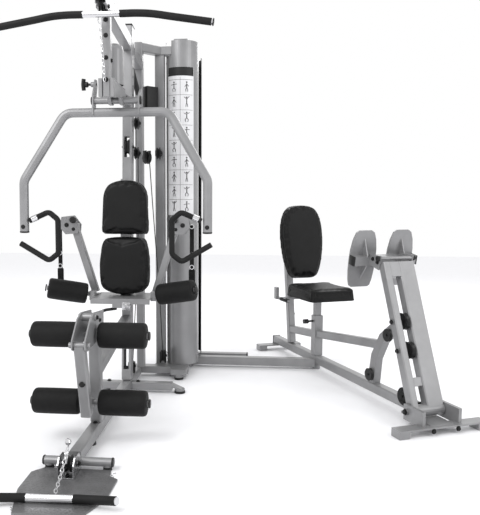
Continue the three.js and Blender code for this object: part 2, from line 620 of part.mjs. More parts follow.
function pressSeat() {
  const stem = block(-18.5, 18.5, -18.5, 18.5, 150, 444);
  const tray = block(-90, 90, -80, 150, 438, 446);
  const rails = [-1, 1].map((s) => block(s * 165 - 9, s * 165 + 9, 60, 240, 412, 427));
  const rest = block(-174, 174, 90, 120, 426, 440);
  const risers = [-1, 1].map((s) => block(s * 174 - 9, s * 174 + 9, 205, 239, 412, 488));
  add('seat_post', PAINT, join(stem, tray, rest, ...rails, ...risers), legPress);
  const pin = join(rod(v(-92, 0, 300), v(-28, 0, 300), 6, 12), rod(v(-92, 0, 300), v(-64, 0, 300), 14, 16));
  add('seat_pin', PLASTIC, pin, legPress);
  const seat = new THREE.Shape();
  seat.moveTo(-120, 0);
  seat.lineTo(120, 0);
  seat.quadraticCurveTo(148, 0, 150, 40);
  seat.lineTo(155, 300);
  seat.quadraticCurveTo(155, 350, 110, 352);
  seat.lineTo(-110, 352);
  seat.quadraticCurveTo(-155, 350, -155, 300);
  seat.lineTo(-150, 40);
  seat.quadraticCurveTo(-148, 0, -120, 0);
  const cushion = new THREE.ExtrudeGeometry(seat, { depth: 72, bevelEnabled: false, curveSegments: 5 });
  add('press_seat_pad', VINYL, cushion, legPress).position.set(0, -205, 446 + GAP);
  const back = new THREE.Shape();
  back.moveTo(-70, -235);
  back.lineTo(70, -235);
  back.bezierCurveTo(120, -225, 150, -60, 146, 60);
  back.bezierCurveTo(142, 170, 110, 235, 40, 238);
  back.lineTo(-40, 238);
  back.bezierCurveTo(-110, 235, -142, 170, -146, 60);
  back.bezierCurveTo(-150, -60, -120, -225, -70, -235);
  const lean = THREE.MathUtils.degToRad(8);
  const backrest = new THREE.ExtrudeGeometry(back, { depth: 60, bevelEnabled: false, curveSegments: 6 });
  const pad = add('press_back_pad', VINYL, backrest, legPress);
  pad.rotation.x = Math.PI / 2 - lean;
  pad.position.set(0, 245, 773);
}

function pressArmStation() {
  const foot = v(0, PRESS_PIVOT_Y, PRESS_PIVOT_Z);
  const top = v(0, -800, 735);
  const shifted = (p, x) => v(x, p.y, p.z);
  const along = top.clone().sub(foot).normalize();
  const at = (distance, x = 0) => shifted(foot.clone().addScaledVector(along, distance), x);
  const parts = [
    beam(at(0, -68), at(714, -68), 36, 50, 0),
    beam(at(0, 41), at(714, 41), 90, 50, 0),
    rod(v(-112, foot.y, foot.z), v(112, foot.y, foot.z), 14, 20),
    rod(v(-86, foot.y, foot.z), v(86, foot.y, foot.z), 28, 20),
    beam(at(110), at(150), 150, 34, 0),
    beam(at(640), at(714), 150, 46, 0),
  ];
  PRESS_PULLEYS.forEach((distance) => {
    parts.push(rod(at(distance, -92), at(distance, 10), 5, 12));
  });
  add('leg_press_arm', PAINT, join(...parts), legPress);
  PRESS_PULLEYS.forEach((distance, i) => {
    const disc = pulley(at(distance, PRESS_PULLEY_X), v(1, 0, 0), 42, 22, 5.6);
    add(`press_pulley_${['low', 'high'][i]}`, PLASTIC, disc, legPress);
  });
  const half = [[34, 150], [52, 138], [66, 100], [74, 50], [76, 0],
    [74, -60], [68, -110], [60, -140], [48, -148]];
  const outline = [...half, ...half.map(([x, z]) => [-x, z]).reverse()];
  const plates = [-1, 1].map((s) => frontPlate(outline.map(([x, z]) => [x + s * 108, z]), 0, 8));
  const tube = block(-178, 178, -46, 1, -23, 23);
  const ribs = [-1, 1].map((s) => sidePlate([[2, 110], [2, -110], [-46, -23], [-46, 23]], s * 108, 6));
  const carrier = join(...plates, tube, ...ribs);
  carrier.rotateX(PLATE_TILT).translate(0, -668, 745);
  const gusset = [[-812, 770], [-700, 775], [-700, 722], [-790, 700]];
  const gussets = [-1, 1].map((s) => sidePlate(gusset, s * 90, 6));
  const saddle = rod(v(-97, -797, 758), v(97, -797, 758), 9, 12);
  add('foot_plates', PAINT, join(carrier, ...gussets, saddle), legPress);
}

// The right end is cut to lie along the turned base beam of the leg press.
function floorLink() {
  const left = STACK_X + 45 + GAP;
  const seam = (y) => {
    const along = (y - PRESS_Y + (TUBE_W / 2) * Math.sin(PRESS_TURN)) / Math.cos(PRESS_TURN);
    return PRESS_X - (TUBE_W / 2) * Math.cos(PRESS_TURN) - along * Math.sin(PRESS_TURN) - 0.5;
  };
  const near = LINK_Y - 22;
  const far = LINK_Y + 22;
  const bar = floorPlate([[left, near], [seam(near), near], [seam(far), far], [left, far]], 15, 50);
  const flange = block(left, left + 10, LINK_Y - 40, LINK_Y + 40, 8, 66);
  add('link_beam', PAINT, join(bar, flange));
}

baseFrame();
treadPlate();
mainUpright();
topBoom();
frontHanger();
springCover();
rearStructure();
stackBase();
shroud('shroud_front', PAINT, 450, -1, SHROUD_TOP);
shroud('shroud_rear', IRON, 690, 1, SHROUD_TOP - 40);
weightStack();
chartPanel();
pads();
seatUnit();
cableArms();
pressArm();
legDeveloper();
latStation();
lowStation();
pressBase();
pressSeatFrame();
pressSeat();
pressArmStation();
floorLink();

// The origin is at the middle of the floor area that the gym takes up.
gym.updateMatrixWorld(true);
const box = new THREE.Box3().setFromObject(gym);
gym.position.set(-(box.min.x + box.max.x) / 2, -(box.min.y + box.max.y) / 2, -box.min.z);

export default gym;
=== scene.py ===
import json
import math
import bmesh
import bpy
import numpy as np
from mathutils import Matrix, Vector
from mathutils.bvhtree import BVHTree


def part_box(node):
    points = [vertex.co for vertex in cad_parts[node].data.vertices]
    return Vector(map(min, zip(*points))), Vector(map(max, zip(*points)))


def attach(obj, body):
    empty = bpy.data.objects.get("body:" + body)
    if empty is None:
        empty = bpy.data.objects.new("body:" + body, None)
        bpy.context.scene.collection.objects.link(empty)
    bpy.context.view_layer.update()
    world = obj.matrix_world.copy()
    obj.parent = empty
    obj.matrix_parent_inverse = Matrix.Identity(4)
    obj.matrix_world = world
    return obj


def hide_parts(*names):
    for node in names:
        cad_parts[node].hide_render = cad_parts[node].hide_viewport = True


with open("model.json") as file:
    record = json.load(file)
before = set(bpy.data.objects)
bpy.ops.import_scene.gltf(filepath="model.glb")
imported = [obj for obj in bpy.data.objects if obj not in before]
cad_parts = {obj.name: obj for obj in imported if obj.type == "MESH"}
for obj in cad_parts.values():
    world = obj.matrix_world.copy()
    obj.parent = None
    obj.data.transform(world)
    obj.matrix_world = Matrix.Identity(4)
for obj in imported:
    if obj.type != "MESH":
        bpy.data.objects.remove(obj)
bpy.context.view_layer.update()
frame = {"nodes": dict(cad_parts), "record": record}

NODES = frame["nodes"]


def middle(node):
    low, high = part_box(node)
    return (Vector(low) + Vector(high)) / 2


# The main upright's centre line on the floor, from which lengths below run in millimetres.
DATUM = Vector((middle("main_upright").x, middle("guide_rod_front").y - 0.485, 0))
X, Y, Z = Vector((1, 0, 0)), Vector((0, 1, 0)), Vector((0, 0, 1))

# The main upright leans back by UPRIGHT_BACK mm over its height of UPRIGHT_TOP mm.
UPRIGHT_BACK = 118
UPRIGHT_TOP = 1975
UPRIGHT_SLOPE = UPRIGHT_BACK / UPRIGHT_TOP
LEAN = math.atan2(UPRIGHT_BACK, UPRIGHT_TOP)

# The leg press stands turned about Z against the main station.
PRESS_TURN = math.radians(23)
PRESS_SPIN = Matrix.Rotation(PRESS_TURN, 3, "Z")


def at(x, y, z):
    return DATUM + Vector((x, y, z)) / 1000


def press(x, y, z):
    """A place in the leg press's own frame, whose -Y runs to the foot plates."""
    return at(1075, 600, 0) + PRESS_SPIN @ (Vector((x, y, z)) / 1000)


PRESS_X = PRESS_SPIN @ X
PRESS_Y = PRESS_SPIN @ Y

# ---- camera ----
camera_data = bpy.data.cameras.new("camera")
camera = bpy.data.objects.new("camera", camera_data)
bpy.context.scene.collection.objects.link(camera)
camera.location = at(704, -3408.9, 1045)
camera.rotation_euler = (math.radians(84.905), 0, math.radians(6))
camera_data.lens = 45.087
camera_data.sensor_fit = "VERTICAL"
camera_data.sensor_height = 36
camera_data.shift_x = 0.0971
bpy.context.scene.camera = camera


# ---- materials ----
def material(name, dark, light, rough, metal=0.0, tone=9.0, grain=900.0, bump=0.1, depth=0.0003,
             cells=False, sheen=0.0, coat=0.0, edge=0.0, gloss=0.5):
    mat = bpy.data.materials.new(name)
    mat.use_nodes = True
    tree = mat.node_tree
    shader = tree.nodes["Principled BSDF"]
    shader.inputs["Metallic"].default_value = metal
    shader.inputs["Sheen Weight"].default_value = sheen
    shader.inputs["Specular IOR Level"].default_value = gloss
    shader.inputs["Coat Weight"].default_value = coat
    coord = tree.nodes.new("ShaderNodeTexCoord").outputs["Object"]

    def noise_of(scale, detail):
        node = tree.nodes.new("ShaderNodeTexNoise")
        node.inputs["Scale"].default_value = scale
        node.inputs["Detail"].default_value = detail
        tree.links.new(coord, node.inputs["Vector"])
        return node.outputs["Fac"]

    ramp = tree.nodes.new("ShaderNodeValToRGB")
    ramp.color_ramp.elements[0].position = 0.3
    ramp.color_ramp.elements[1].position = 0.7
    ramp.color_ramp.elements[0].color = (*dark, 1)
    ramp.color_ramp.elements[1].color = (*light, 1)
    tree.links.new(noise_of(tone, 5), ramp.inputs["Fac"])
    tree.links.new(ramp.outputs["Color"], shader.inputs["Base Color"])
    spread = tree.nodes.new("ShaderNodeMapRange")
    spread.inputs["To Min"].default_value = rough * 0.85
    spread.inputs["To Max"].default_value = min(rough * 1.2, 1)
    tree.links.new(noise_of(tone * 6, 6), spread.inputs["Value"])
    tree.links.new(spread.outputs["Result"], shader.inputs["Roughness"])
    relief = tree.nodes.new("ShaderNodeBump")
    relief.inputs["Strength"].default_value = bump
    relief.inputs["Distance"].default_value = depth
    if cells:
        voronoi = tree.nodes.new("ShaderNodeTexVoronoi")
        voronoi.inputs["Scale"].default_value = grain
        tree.links.new(coord, voronoi.inputs["Vector"])
        height = voronoi.outputs["Distance"]
    else:
        height = noise_of(grain, 3)
    tree.links.new(height, relief.inputs["Height"])
    if edge > 0:
        rounding = tree.nodes.new("ShaderNodeBevel")
        rounding.samples = 4
        rounding.inputs["Radius"].default_value = edge
        tree.links.new(rounding.outputs["Normal"], relief.inputs["Normal"])
    tree.links.new(relief.outputs["Normal"], shader.inputs["Normal"])
    return mat


def grey(value):
    return (value, value, value * 1.02)


PAINT = material("powder_coat", grey(0.235), grey(0.285), 0.36, metal=0.35, grain=1400, bump=0.12,
                 edge=0.0022, coat=0.1)
SHELL = material("shroud_paint", grey(0.25), grey(0.29), 0.33, metal=0.35, grain=1400, bump=0.08, edge=0.001,
                 coat=0.15)
DARK = material("dark_paint", grey(0.010), grey(0.018), 0.45, grain=1200, bump=0.15, edge=0.0015, gloss=0.3)
VINYL = material("vinyl", grey(0.0035), grey(0.0065), 0.46, grain=650, bump=0.35, depth=0.0004, cells=True,
                 gloss=0.22)
PIPING = material("piping", grey(0.004), grey(0.007), 0.5, grain=1600, bump=0.4, gloss=0.25)
FOAM = material("foam_skin", grey(0.0035), grey(0.007), 0.62, grain=1500, bump=0.6, depth=0.0006, gloss=0.22)
WEBBING = material("webbing", grey(0.005), grey(0.010), 0.8, grain=1100, bump=0.9, depth=0.0007, cells=True,
                   sheen=0.05, gloss=0.2)
RUBBER = material("grip_rubber", grey(0.005), grey(0.009), 0.6, grain=1300, bump=0.5, depth=0.0004,
                  cells=True, gloss=0.25)
PLASTIC = material("moulded_plastic", grey(0.006), grey(0.011), 0.4, grain=1000, bump=0.12, edge=0.001,
                   gloss=0.35)
OXIDE = material("black_oxide", grey(0.008), grey(0.015), 0.42, metal=0.3, grain=1200, bump=0.1, gloss=0.35)
CHROME = material("chrome", grey(0.62), grey(0.74), 0.1, metal=1.0, grain=300, bump=0.02)
ZINC = material("zinc", grey(0.48), grey(0.60), 0.26, metal=1.0, grain=900, bump=0.12, edge=0.0008)
IRON = material("plate_iron", grey(0.010), grey(0.018), 0.55, metal=0.2, grain=700, bump=0.5, depth=0.0006,
                edge=0.0015, gloss=0.3)
TREAD = material("tread_steel", grey(0.15), grey(0.23), 0.42, metal=0.6, grain=800, bump=0.3, edge=0.001)
CABLE = material("cable_coat", grey(0.006), grey(0.010), 0.35, grain=1500, bump=0.2, gloss=0.3)
PRINT = material("chart_print", grey(0.72), grey(0.80), 0.35, grain=500, bump=0.02)
INK = material("chart_ink", grey(0.012), grey(0.025), 0.4, grain=500, bump=0.02)

BY_SLOT = {"silver_paint": PAINT, "dark_paint": DARK, "vinyl": VINYL, "foam": FOAM, "webbing": WEBBING,
           "grip_rubber": RUBBER, "chrome": CHROME, "black_plastic": PLASTIC, "iron": IRON, "tread": TREAD,
           "cable": CABLE, "chart": PRINT}
BY_NODE = {"shroud_front": SHELL, "spring_cover": SHELL, "low_pulley_bracket": ZINC}


def smooth_group(limit):
    """Geometry nodes that shade faces smooth, but for edges sharper than limit."""
    group = bpy.data.node_groups.new("soft_shading", "GeometryNodeTree")
    group.interface.new_socket("Geometry", in_out="INPUT", socket_type="NodeSocketGeometry")
    group.interface.new_socket("Geometry", in_out="OUTPUT", socket_type="NodeSocketGeometry")
    start = group.nodes.new("NodeGroupInput")
    end = group.nodes.new("NodeGroupOutput")
    faces = group.nodes.new("GeometryNodeSetShadeSmooth")
    faces.domain = "FACE"
    edges = group.nodes.new("GeometryNodeSetShadeSmooth")
    edges.domain = "EDGE"
    edges.inputs["Shade Smooth"].default_value = False
    angle = group.nodes.new("GeometryNodeInputMeshEdgeAngle")
    sharp = group.nodes.new("FunctionNodeCompare")
    sharp.inputs["B"].default_value = limit
    group.links.new(angle.outputs["Unsigned Angle"], sharp.inputs["A"])
    group.links.new(start.outputs[0], faces.inputs["Geometry"])
    group.links.new(faces.outputs["Geometry"], edges.inputs["Geometry"])
    group.links.new(sharp.outputs["Result"], edges.inputs["Selection"])
    group.links.new(edges.outputs["Geometry"], end.inputs[0])
    return group


SOFT_SHADING = smooth_group(math.radians(32))


def shade(obj):
    obj.modifiers.new("soft_shading", "NODES").node_group = SOFT_SHADING


for part in frame["record"]["subparts"]:
    node = NODES[part["node"]]
    node.data.materials.clear()
    node.data.materials.append(BY_NODE.get(part["node"], BY_SLOT[part["material_slot"]]))
    shade(node)


# ---- shapes ----
class Shape:
    """Several closed solids that become one piece."""

    def __init__(self):
        self.mesh = bmesh.new()

    def lathe(self, profile, centre, axis, sides=32):
        """Turns (radius, height) points in mm about the axis through centre."""
        turn = Z.rotation_difference(axis.normalized()).to_matrix()
        rings = []
        for radius, height in profile:
            ring = []
            for i in range(sides):
                a = 2 * math.pi * i / sides
                place = Vector((radius * math.cos(a), radius * math.sin(a), height)) / 1000
                ring.append(self.mesh.verts.new(centre + turn @ place))
            rings.append(ring)
        for low, high in zip(rings, rings[1:]):
            for i in range(sides):
                j = (i + 1) % sides
                self.mesh.faces.new((low[i], low[j], high[j], high[i]))
        self.mesh.faces.new(rings[0][::-1])
        self.mesh.faces.new(rings[-1])
        return self

    def ring(self, profile, centre, axis, sides=32):
        """As lathe, for a closed profile that doesn't reach the axis."""
        turn = Z.rotation_difference(axis.normalized()).to_matrix()
        loops = []
        for i in range(sides):
            a = 2 * math.pi * i / sides
            places = [Vector((r * math.cos(a), r * math.sin(a), h)) / 1000 for r, h in profile]
            loops.append([self.mesh.verts.new(centre + turn @ place) for place in places])
        count = len(profile)
        for i in range(sides):
            near, far = loops[i], loops[(i + 1) % sides]
            for k in range(count):
                m = (k + 1) % count
                self.mesh.faces.new((near[k], far[k], far[m], near[m]))
        return self

    def tube(self, points, radius, sides=10, closed=False):
        """Sweeps a circle of radius mm along points in metres."""
        count = len(points)
        normal = None
        rings = []
        for i, point in enumerate(points):
            ahead = points[(i + 1) % count] if closed or i < count - 1 else point
            behind = points[i - 1] if closed or i > 0 else point
            along = (ahead - behind).normalized()
            if normal is None:
                normal = along.orthogonal().normalized()
            normal = (normal - along * normal.dot(along)).normalized()
            side = along.cross(normal)
            angles = [2 * math.pi * k / sides for k in range(sides)]
            outward = [normal * math.cos(a) + side * math.sin(a) for a in angles]
            rings.append([self.mesh.verts.new(point + out * radius / 1000) for out in outward])
        pairs = list(zip(rings, rings[1:])) + ([(rings[-1], rings[0])] if closed else [])
        for low, high in pairs:
            for k in range(sides):
                m = (k + 1) % sides
                self.mesh.faces.new((low[k], low[m], high[m], high[k]))
        if not closed:
            self.mesh.faces.new(rings[0][::-1])
            self.mesh.faces.new(rings[-1])
        return self

    def slab(self, centre, size, turn=None, corner=2.0):
        """Box with bevelled edges, size in mm."""
        made = bmesh.ops.create_cube(self.mesh, size=1)["verts"]
        for vert in made:
            place = Vector([vert.co[k] * size[k] / 1000 for k in range(3)])
            vert.co = centre + (turn @ place if turn else place)
        edges = list({edge for vert in made for edge in vert.link_edges})
        bmesh.ops.bevel(self.mesh, geom=edges, offset=corner / 1000, segments=2, profile=0.5, affect="EDGES")
        return self

    def bolt(self, place, axis, radius=9.0):
        """Hexagon head on a washer, standing out along axis."""
        washer = radius * 1.35
        self.lathe([(washer, 0), (washer, 1.4), (washer * 0.94, 1.8)], place, axis, 24)
        head = [(radius, 1.8), (radius, radius * 0.75), (radius * 0.86, radius * 0.92)]
        return self.lathe(head, place, axis, 6)

    def cap(self, place, axis, radius, height=6.0):
        """Low domed plug."""
        profile = [(radius, 0), (radius, height * 0.5), (radius * 0.9, height * 0.85), (radius * 0.6, height)]
        return self.lathe(profile, place, axis, 28)

    def finish(self, name, mat, body, slot):
        bmesh.ops.recalc_face_normals(self.mesh, faces=self.mesh.faces)
        data = bpy.data.meshes.new(name)
        self.mesh.to_mesh(data)
        self.mesh.free()
        obj = bpy.data.objects.new(name, data)
        bpy.context.scene.collection.objects.link(obj)
        data.materials.append(mat)
        shade(obj)
        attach(obj, body)
        return obj


def curve_points(corners, per_span=8):
    """A smooth line through the corner points."""
    padded = [corners[0] * 2 - corners[1], *corners, corners[-1] * 2 - corners[-2]]
    points = []
    for a, b, c, d in zip(padded, padded[1:], padded[2:], padded[3:]):
        for i in range(per_span):
            t = i / per_span
            points.append(0.5 * (2 * b + (c - a) * t + (2 * a - 5 * b + 4 * c - d) * t * t
                                 + (3 * b - a - 3 * c + d) * t ** 3))
    points.append(corners[-1])
    return points


# ---- upholstery ----
def coordinates(mesh):
    values = np.empty(len(mesh.vertices) * 3)
    mesh.vertices.foreach_get("co", values)
    return values.reshape(-1, 3)


CLOTH_FRAMES = 20
CLOTH_PRESSURE = 4
BOARD_DEPTH = 0.009      # how far in from the back the pad is held
TUCK = 0.004             # how far the cover starts inside the CAD solid


def upholstered(node, body, back, swell=9.0, voxel=0.006):
    """Pad blown up by cloth pressure from its CAD solid, its back held flat on its board."""
    obj = bpy.data.objects.new(node + "_cover", NODES[node].data.copy())
    bpy.context.scene.collection.objects.link(obj)
    bpy.context.view_layer.objects.active = obj
    remesh = obj.modifiers.new("remesh", "REMESH")
    remesh.mode = "VOXEL"
    remesh.voxel_size = voxel
    smooth = obj.modifiers.new("smooth", "SMOOTH")
    smooth.iterations = 6
    evaluated = obj.evaluated_get(bpy.context.evaluated_depsgraph_get())
    mesh = bpy.data.meshes.new_from_object(evaluated)
    obj.modifiers.clear()
    obj.data = mesh
    start = coordinates(mesh)
    normals = np.array([vert.normal for vert in mesh.vertices])
    depth = start @ np.array(back)
    board = depth > depth.max() - BOARD_DEPTH
    start[~board] -= normals[~board] * TUCK
    mesh.vertices.foreach_set("co", start.ravel())
    held = obj.vertex_groups.new(name="board")
    held.add([int(i) for i in np.nonzero(board)[0]], 1.0, "REPLACE")
    cloth = obj.modifiers.new("cloth", "CLOTH")
    cloth.settings.quality = 5
    cloth.settings.use_pressure = True
    cloth.settings.uniform_pressure_force = CLOTH_PRESSURE
    cloth.settings.effector_weights.gravity = 0
    cloth.settings.vertex_group_mass = "board"
    cloth.settings.bending_stiffness = 2
    cloth.point_cache.frame_start = 1
    cloth.point_cache.frame_end = CLOTH_FRAMES
    for moment in range(1, CLOTH_FRAMES + 1):
        bpy.context.scene.frame_set(moment)
    moved = coordinates(obj.evaluated_get(bpy.context.evaluated_depsgraph_get()).data)
    obj.modifiers.clear()
    bpy.context.scene.frame_set(1)
    step = moved - start
    length = np.linalg.norm(step, axis=1, keepdims=True)
    limit = swell / 1000
    step *= np.where(length > limit, limit / np.maximum(length, 1e-9), 1)
    mesh.vertices.foreach_set("co", (start + step).ravel())
    mesh.update()
    mesh.materials.clear()
    mesh.materials.append(VINYL)
    mesh.polygons.foreach_set("use_smooth", [True] * len(mesh.polygons))
    subdivision = obj.modifiers.new("subdivision", "SUBSURF")
    subdivision.levels = subdivision.render_levels = 1
    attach(obj, body)
    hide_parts(node)
    welt(node, body, back, obj)
    return obj


def welt(node, body, back, cover):
    """Piping along the pad's front rim, laid on the swollen cover."""
    corners = coordinates(NODES[node].data)
    depth = corners @ np.array(back)
    rim = corners[depth < depth.min() + 0.002]
    centre = rim.mean(axis=0)
    normal = Vector(back)
    across = normal.orthogonal().normalized()
    up = normal.cross(across)
    angle = [math.atan2(Vector(p - centre).dot(up), Vector(p - centre).dot(across)) for p in rim]
    ordered = [Vector(rim[i]) for i in np.argsort(angle)]
    kept = [p for i, p in enumerate(ordered) if (p - ordered[i - 1]).length > 0.004]
    loop = []
    for a, b in zip(kept, kept[1:] + kept[:1]):
        count = max(1, int((b - a).length / 0.008))
        loop += [a.lerp(b, i / count) for i in range(count)]
    faces = [p.vertices[:] for p in cover.data.polygons]
    surface = BVHTree.FromPolygons([v.co for v in cover.data.vertices], faces)
    loop = [surface.find_nearest(p + normal * 0.012)[0] for p in loop]
    for _ in range(6):
        loop = [(loop[i - 1] + loop[i] * 2 + loop[(i + 1) % len(loop)]) / 4 for i in range(len(loop))]
    piping = Shape().tube(loop, 2.2, 8, closed=True)
    piping.finish(node + "_piping", PIPING, body, "vinyl")


BACKREST = Vector((0, math.cos(LEAN), -math.sin(LEAN)))
RECLINE = math.radians(8)
upholstered("upper_pad", "frame", BACKREST)
upholstered("lumbar_pad", "frame", BACKREST)
upholstered("press_seat_pad", "seat_post", Vector((0, 0, -1)))
upholstered("press_back_pad", "frame", PRESS_Y * math.cos(RECLINE) - Z * math.sin(RECLINE))


ROLLER_HALF = 102.5      # half a foam sleeve's length
PLUG_REACH = 0.1105      # from a roller's middle to its end plug, in metres


def foam_roller(node, body, axis):
    """Foam sleeve with softly rounded rims and a faint swell."""
    centre = middle(node)
    half = ROLLER_HALF
    outline = [(13.2, -half), (38, -half - 0.6), (47, -half + 1.5), (52, -half + 6), (54, -half + 14)]
    side = [(54 + 0.9 * math.cos(h / half * math.pi / 2), h) for h in range(-80, 81, 16)]
    profile = outline + side + [(r, -h) for r, h in reversed(outline)]
    profile += [(13.2, half * 0.3), (13.2, -half * 0.3)]
    sleeve = Shape().ring(profile, centre, axis, 56).finish(node + "_sleeve", FOAM, body, "foam")
    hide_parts(node)


for level, carrier in (("upper", "frame"), ("lower", "leg_arm")):
    for side, sign in (("left", -1), ("right", 1)):
        node = f"{level}_roller_{side}"
        foam_roller(node, node, X)
        end = middle(node) + X * sign * PLUG_REACH
        Shape().cap(end, X * sign, 19, 7).finish(node + "_plug", PLASTIC, carrier, "black_plastic")
for side, sign in (("left", -1), ("right", 1)):
    node = f"seat_roller_{side}"
    axis = Vector((sign * 230, -73, 43)).normalized()
    foam_roller(node, node, axis)
    Shape().cap(middle(node) + axis * PLUG_REACH, axis, 19, 7).finish(
        node + "_plug", PLASTIC, "frame", "black_plastic")

# ---- main station ----
bolts = Shape()
for z in (1600, 1700, 1800, 1870):
    bolts.bolt(at(0, -420, z), -Y, 8)
for z in (1585, 1690):
    bolts.bolt(at(20, -400, z), X, 8)
for y in (-300, -60):
    bolts.bolt(at(20, y, 1572), X, 8)
for z in (900, 1110, 640, 760):
    bolts.bolt(at(25, UPRIGHT_SLOPE * z, z), X, 8)
for x in (-100, 60):
    bolts.bolt(at(x, 0, 56), Z, 9)
bolts.bolt(at(0, -300, 67), Z, 8).bolt(at(0, -700, 67), Z, 8)
bolts.bolt(at(36, -1100, 50), X, 9).bolt(at(-36, -1100, 50), -X, 9)
bolts.bolt(at(38, -800, 556), X, 8).bolt(at(30, -720, 530), X, 7)
for sign in (-1, 1):
    bolts.bolt(at(sign * 312, -50, 912), -Y, 9)
    bolts.bolt(at(sign * 275, -50, 890), -Y, 7)
bolts.bolt(at(307.4, 555, 40), X, 8)
bolts.bolt(at(24, -466, 1915), X, 8).bolt(at(-24, -466, 1915), -X, 8)
bolts.bolt(at(30, 58, 1330), X, 8)
bolts.finish("frame_bolts", OXIDE, "frame", "dark_paint")

caps = Shape()
caps.slab(at(0, 118.2, 1977.5), (54, 79, 9), Matrix.Rotation(-LEAN, 3, "X"), 3)
caps.slab(at(0, -517, 1972), (54, 10, 34), Matrix.Rotation(-0.12, 3, "X"), 3)
caps.cap(at(-118, -1030, 30), -X, 18.5, 8).cap(at(150, -1030, 30), X, 18.5, 8)
caps.slab(at(-151, 0, 36), (10, 54, 44)).slab(at(642, 762, 28), (10, 49, 37))
for x, y, radius in ((290, 0, 29), (-125, 0, 29), (0, -780, 22), (-100, -1030, 17), (132, -1030, 17),
                     (252, 265, 26), (620, 762, 26), (252, 762, 26)):
    caps.ring([(radius - 1.5, 0.4), (radius + 1, 0.4), (radius, 13), (radius - 1.5, 13)], at(x, y, 0), Z, 32)
caps.finish("frame_caps", PLASTIC, "frame", "black_plastic")

holes = Shape()
for k in range(9):
    z = 1420 + 48 * k
    holes.ring([(4, 0), (6.4, 0), (6.4, 0.7), (4, 0.7)], at(25, UPRIGHT_SLOPE * z, z), X, 20)
holes.finish("upright_hole_rims", DARK, "frame", "dark_paint")

pivots = Shape()
for sign in (-1, 1):
    pivots.cap(at(sign * 119, -205, 1537), X * sign, 21, 9)
    pivots.cap(at(sign * 460, -275.2, 888), -Z, 24, 8)
pivots.finish("press_arm_caps", PLASTIC, "press_arm", "black_plastic")

arm_collars = Shape()
for sign in (-1, 1):
    arm_collars.ring([(14.6, -16), (16.5, -14), (16.5, 14), (14.6, 16)], at(sign * 404, -280, 954),
                     Vector((sign * 99, 0, -44)), 28)
arm_collars.finish("press_arm_collars", CHROME, "press_arm", "chrome")
arm_screws = Shape()
for sign in (-1, 1):
    arm_screws.bolt(at(sign * 460, -297, 912), -Y, 8)
arm_screws.finish("press_arm_bolts", OXIDE, "press_arm", "dark_paint")
pull = middle("pull_pin")
pull_low, pull_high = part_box("pull_pin")
handle = Shape()
handle.tube(curve_points([Vector((pull_low[0] + 0.008, pull.y, pull_low[2] - 0.004)),
                          Vector((pull_low[0] + 0.005, pull.y, pull.z)),
                          Vector((pull_low[0] + 0.008, pull.y, pull_high[2] + 0.004))]), 10.5, 16)
handle.lathe([(12, -8), (14, -4), (14, 6), (9, 10)], Vector((pull_low[0] + 0.022, pull.y, pull.z)), X, 20)
handle.finish("pull_pin_handle", PLASTIC, "pull_pin", "black_plastic")
arm_front = Shape().bolt(at(0, -904.6, 300), Vector((0, -0.96, 0.28)), 10)
arm_front.finish("leg_arm_bolt", OXIDE, "leg_arm", "dark_paint")

knobs = Shape()
for sign in (-1, 1):
    place = at(sign * 270, -50, 940)
    knobs.lathe([(7, 0), (7, 12), (17, 14), (19, 20), (18, 30), (12, 34)], place, -Y, 12)
knobs.finish("cable_arm_knobs", PLASTIC, "frame", "black_plastic")

plate = Shape().slab(at(34, -178, 500), (44, 5, 40), None, 1.5).bolt(at(34, -180.6, 500), -Y, 8)
plate.finish("seat_stop_plate", ZINC, "frame", "chrome")
Shape().cap(at(-138, -196, 458), Vector((-68, -18, -22)), 11, 14).finish(
    "seat_lever_end", RUBBER, "seat_lever", "black_plastic")

# Raised pattern on the tread plate.
lozenges = Shape()
for row in range(20):
    for column in range(19):
        x = -144 + column * 17 + (row % 2) * 8.5
        y = -1400 + row * 17
        inset = 24 if y < -1300 else 6
        if not (-146 + inset < x < 170 - inset + (8 if y > -1250 else 0)):
            continue
        if -34 < x < 34 and y > -1172:
            continue
        turn = Matrix.Rotation(math.radians(45 if (row + column) % 2 else -45), 3, "Z")
        lozenges.slab(at(x, y, 7.1), (13, 3.2, 1.6), turn, 0.6)
lozenges.finish("tread_pattern", TREAD, "frame", "tread")


def link_chain(start, end, sag, name, body):
    """Welded chain whose links turn by a quarter one after the other."""
    length = (end - start).length * 1.02
    count = max(3, int(length / 0.017))
    chain = Shape()
    for i in range(count):
        t = (i + 0.5) / count
        place = start.lerp(end, t) - Z * sag * 4 * t * (1 - t)
        along = (end - start - Z * sag * 4 * (1 - 2 * t)).normalized()
        side = along.orthogonal().normalized()
        side = Matrix.Rotation(math.pi / 2 * (i % 2), 3, along) @ side
        loop = []
        for k in range(14):
            a = 2 * math.pi * k / 14
            loop.append(place + along * 0.0105 * math.cos(a) + side * 0.0062 * math.sin(a))
        chain.tube(loop, 1.7, 6, closed=True)
    chain.finish(name, CHROME, body, "chrome")


def carabiner(shape, top, length):
    """Oval snap ring that hangs down from top."""
    loop = []
    for k in range(20):
        a = 2 * math.pi * k / 20
        loop.append(top - Z * length / 2 + Z * length / 2 * math.cos(a) + X * 0.0085 * math.sin(a))
    shape.tube(loop, 2.4, 8, closed=True)


link_chain(at(-14, -470, 1838), at(-4, -436, 1590), 0.0, "lat_chain", "frame")
link_chain(at(8, -1142, 132), at(16, -1322, 38), 0.012, "low_chain", "frame")
links = Shape()
carabiner(links, at(-14, -470, 1872), 0.034)
links.lathe([(3, -13), (9, -9), (13, 0), (9, 9), (3, 13)], at(7, -1132, 146), Z, 24)
links.tube(curve_points([at(7, -1132, 152), at(4, -1120, 120), at(0, -1134, 62)]), 3, 10)
links.finish("chain_hooks", CHROME, "frame", "chrome")

